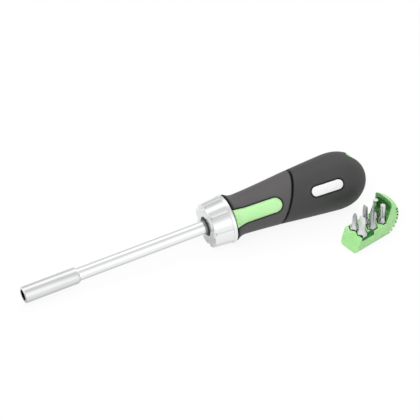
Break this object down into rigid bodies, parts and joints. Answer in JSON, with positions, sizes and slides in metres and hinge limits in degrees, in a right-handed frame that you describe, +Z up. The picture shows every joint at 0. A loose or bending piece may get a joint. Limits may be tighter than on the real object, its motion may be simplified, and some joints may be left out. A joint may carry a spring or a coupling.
{
  "type": "ratcheting screwdriver",
  "caption": "Ratcheting screwdriver with a chrome shaft and selector collar, a soft-grip handle that swivels into a pistol grip, and a loose hooded cartridge of bits beside it.",
  "frame": {"origin": "centre of the bit socket's mouth, on the shaft's axis, with the tool lying on its belly and its collar's rim", "axes": "+X from the socket's mouth towards the butt, along the floor; +Z straight up; -Y towards the side where the loose cartridge stands"},
  "size_m": [0.2597, 0.0741, 0.04],
  "materials": {
    "steel": "polished chrome vanadium steel, plated",
    "chrome": "satin to bright chrome plate",
    "hardened_steel": "hardened and tempered steel",
    "cast_steel": "die-cast metal, machined in its bores",
    "dark_steel": "black oxide",
    "spring_steel": "spring wire",
    "seal_rubber": "black rubber",
    "green_plastic": "smooth moulded green plastic",
    "cartridge_plastic": "smooth moulded green plastic",
    "front_grip_rubber": "soft-touch rubber, fine matt grain",
    "rear_grip_rubber": "soft-touch rubber, fine matt grain",
    "badge_plastic": "bright white badge, bare",
    "bit_steel": "satin tool steel"
  },
  "bodies": {
    "rear_handle": {"rear_core_left": "green_plastic", "rear_core_right": "green_plastic", "rear_grip": "rear_grip_rubber", "badge_left": "badge_plastic", "badge_right": "badge_plastic", "swivel_spring": "spring_steel", "swivel_ball": "hardened_steel", "swivel_ball_spring": "spring_steel"},
    "front_handle": {"front_core_left": "green_plastic", "front_core_right": "green_plastic", "front_grip": "front_grip_rubber", "ratchet_housing": "cast_steel", "pawl_pin": "hardened_steel", "collar_clip": "dark_steel", "shaft_seal": "seal_rubber", "selector_ball": "hardened_steel", "selector_spring": "spring_steel", "thrust_ball": "hardened_steel", "thrust_plug": "hardened_steel", "housing_pin": "hardened_steel", "swivel_bolt": "hardened_steel", "swivel_washer": "hardened_steel", "swivel_nut": "hardened_steel"},
    "shaft": {"drive_shaft": "steel", "bit_sleeve": "steel", "socket_magnet": "dark_steel", "ratchet_gear": "hardened_steel", "gear_key": "hardened_steel", "shaft_clip": "dark_steel"},
    "selector": {"selector_collar": "chrome"},
    "pawl": {"rocker_pawl": "hardened_steel"},
    "cartridge": {"cartridge_tray": "cartridge_plastic"},
    "large_flat_bit": {"bit_flat_large": "bit_steel"},
    "large_cross_bit": {"bit_cross_large": "bit_steel"},
    "star_bit": {"bit_star": "bit_steel"},
    "small_cross_bit": {"bit_cross_small": "bit_steel"},
    "small_flat_bit": {"bit_flat_small": "bit_steel"},
    "hexagon_bit": {"bit_hex": "bit_steel"}
  },
  "joints": [
    {"name": "handle_swivel", "type": "hinge", "parent": "rear_handle", "child": "front_handle", "pos_m": [0.19375, -0.0004, 0.00984], "axis": [-0.9097, 0.2604, 0.3235], "range_deg": [0, 180]},
    {"name": "shaft_spin", "type": "hinge", "parent": "front_handle", "child": "shaft", "pos_m": [0, 0, 0], "axis": [0.9986, 0, 0.0537], "continuous": true},
    {"name": "selector_turn", "type": "hinge", "parent": "front_handle", "child": "selector", "pos_m": [0, 0, 0], "axis": [0.9986, 0, 0.0537], "range_deg": [-20, 20]},
    {"name": "pawl_rock", "type": "hinge", "parent": "front_handle", "child": "pawl", "pos_m": [0.14306, 0.00591, 0.01614], "axis": [0.9986, 0, 0.0537], "range_deg": [-9.2, 9.2]},
    {"name": "cartridge_lift", "type": "slide", "parent": "rear_handle", "child": "cartridge", "axis": [0, 0, 1], "range_m": [0, 0.05]},
    {"name": "bit_flat_large_pull", "type": "slide", "parent": "cartridge", "child": "large_flat_bit", "axis": [0, 0, 1], "range_m": [0, 0.03]},
    {"name": "bit_cross_large_pull", "type": "slide", "parent": "cartridge", "child": "large_cross_bit", "axis": [0, 0, 1], "range_m": [0, 0.03]},
    {"name": "bit_star_pull", "type": "slide", "parent": "cartridge", "child": "star_bit", "axis": [0, 0, 1], "range_m": [0, 0.03]},
    {"name": "bit_cross_small_pull", "type": "slide", "parent": "cartridge", "child": "small_cross_bit", "axis": [0, 0, 1], "range_m": [0, 0.03]},
    {"name": "bit_flat_small_pull", "type": "slide", "parent": "cartridge", "child": "small_flat_bit", "axis": [0, 0, 1], "range_m": [0, 0.03]},
    {"name": "bit_hex_pull", "type": "slide", "parent": "cartridge", "child": "hexagon_bit", "axis": [0, 0, 1], "range_m": [0, 0.03]}
  ],
  "couplings": [
    {"joint": "pawl_rock", "follows": "selector_turn", "ratio": 0.45}
  ]
}
